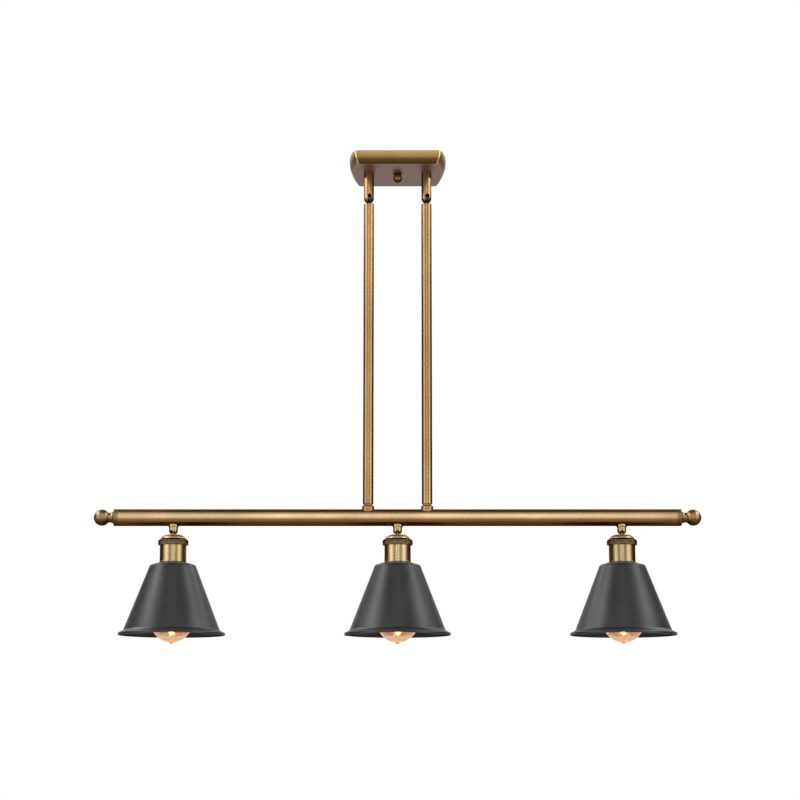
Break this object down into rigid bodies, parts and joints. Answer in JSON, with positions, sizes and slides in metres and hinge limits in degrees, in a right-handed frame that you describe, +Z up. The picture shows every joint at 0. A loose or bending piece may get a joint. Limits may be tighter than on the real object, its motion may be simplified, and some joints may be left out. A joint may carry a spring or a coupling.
{
  "type": "linear island pendant light",
  "caption": "Linear pendant: a ceiling canopy and twin drop rods carry a horizontal bar of cone-shaded downlights on small tilting swivels.",
  "frame": {"origin": "middle of the crossbar's top face, in the plane of the ceiling, midway between its two slots", "axes": "+Z up into the ceiling, +X along the bar, -Y towards the viewer"},
  "size_m": [0.9144, 0.1592, 0.7416],
  "materials": {
    "antique_brass": "brushed, antiqued",
    "bronze": "knurled, satin",
    "contact_brass": "bright",
    "plated_steel": "zinc plated",
    "green_screw": "green plated",
    "matte_black": "matte",
    "porcelain": "gloss",
    "amber_glass": "clear amber",
    "filament": "glowing"
  },
  "bodies": {
    "ceiling_mount": {"canopy": "antique_brass", "crossbar": "plated_steel", "canopy_stud": "plated_steel", "stud_nut": "plated_steel", "ball_nut": "antique_brass", "ground_screw": "green_screw", "swivel_plug_left": "antique_brass", "swivel_plug_right": "antique_brass", "swivel_cup_left": "antique_brass", "swivel_cup_right": "antique_brass", "canopy_lock_nuts": "plated_steel"},
    "pendant_frame": {"bar": "antique_brass", "bar_bosses": "plated_steel", "rod_nipples": "plated_steel", "ball_stem_left": "antique_brass", "upper_rod_left": "antique_brass", "lower_rod_left": "antique_brass", "collar_left": "antique_brass", "finial_left": "antique_brass", "ball_stem_right": "antique_brass", "upper_rod_right": "antique_brass", "lower_rod_right": "antique_brass", "collar_right": "antique_brass", "finial_right": "antique_brass", "lamp_cup_left": "antique_brass", "lamp_cup_middle": "antique_brass", "lamp_cup_right": "antique_brass"},
    "lamp_left": {"lamp_stem_left": "antique_brass", "socket_cap_left": "antique_brass", "grip_ring_left": "bronze", "socket_shell_left": "antique_brass", "socket_body_left": "porcelain", "socket_contacts_left": "contact_brass", "shade_left": "matte_black", "shade_ring_left": "plated_steel"},
    "bulb_left": {"bulb_left": "amber_glass", "bulb_base_left": "contact_brass", "filament_left": "filament"},
    "lamp_middle": {"lamp_stem_middle": "antique_brass", "socket_cap_middle": "antique_brass", "grip_ring_middle": "bronze", "socket_shell_middle": "antique_brass", "socket_body_middle": "porcelain", "socket_contacts_middle": "contact_brass", "shade_middle": "matte_black", "shade_ring_middle": "plated_steel"},
    "bulb_middle": {"bulb_middle": "amber_glass", "bulb_base_middle": "contact_brass", "filament_middle": "filament"},
    "lamp_right": {"lamp_stem_right": "antique_brass", "socket_cap_right": "antique_brass", "grip_ring_right": "bronze", "socket_shell_right": "antique_brass", "socket_body_right": "porcelain", "socket_contacts_right": "contact_brass", "shade_right": "matte_black", "shade_ring_right": "plated_steel"},
    "bulb_right": {"bulb_right": "amber_glass", "bulb_base_right": "contact_brass", "filament_right": "filament"}
  },
  "joints": [
    {"name": "fixture_swing", "type": "hinge", "parent": "ceiling_mount", "child": "pendant_frame", "pos_m": [0, 0, -0.057], "axis": [-1, 0, 0], "range_deg": [-12, 40]},
    {"name": "lamp_tilt_left", "type": "hinge", "parent": "pendant_frame", "child": "lamp_left", "pos_m": [-0.337, 0, -0.57135], "axis": [-0.9272, 0.3746, 0], "range_deg": [-9, 57]},
    {"name": "lamp_tilt_middle", "type": "hinge", "parent": "pendant_frame", "child": "lamp_middle", "pos_m": [0, 0, -0.57135], "axis": [-1, 0, 0], "range_deg": [-9, 57]},
    {"name": "lamp_tilt_right", "type": "hinge", "parent": "pendant_frame", "child": "lamp_right", "pos_m": [0.337, 0, -0.57135], "axis": [-1, 0, 0], "range_deg": [-9, 57]},
    {"name": "bulb_unscrew_left", "type": "slide", "parent": "lamp_left", "child": "bulb_left", "axis": [0, 0, -1], "range_m": [0, 0.03]},
    {"name": "bulb_unscrew_middle", "type": "slide", "parent": "lamp_middle", "child": "bulb_middle", "axis": [0, 0, -1], "range_m": [0, 0.03]},
    {"name": "bulb_unscrew_right", "type": "slide", "parent": "lamp_right", "child": "bulb_right", "axis": [0, 0, -1], "range_m": [0, 0.03]}
  ]
}
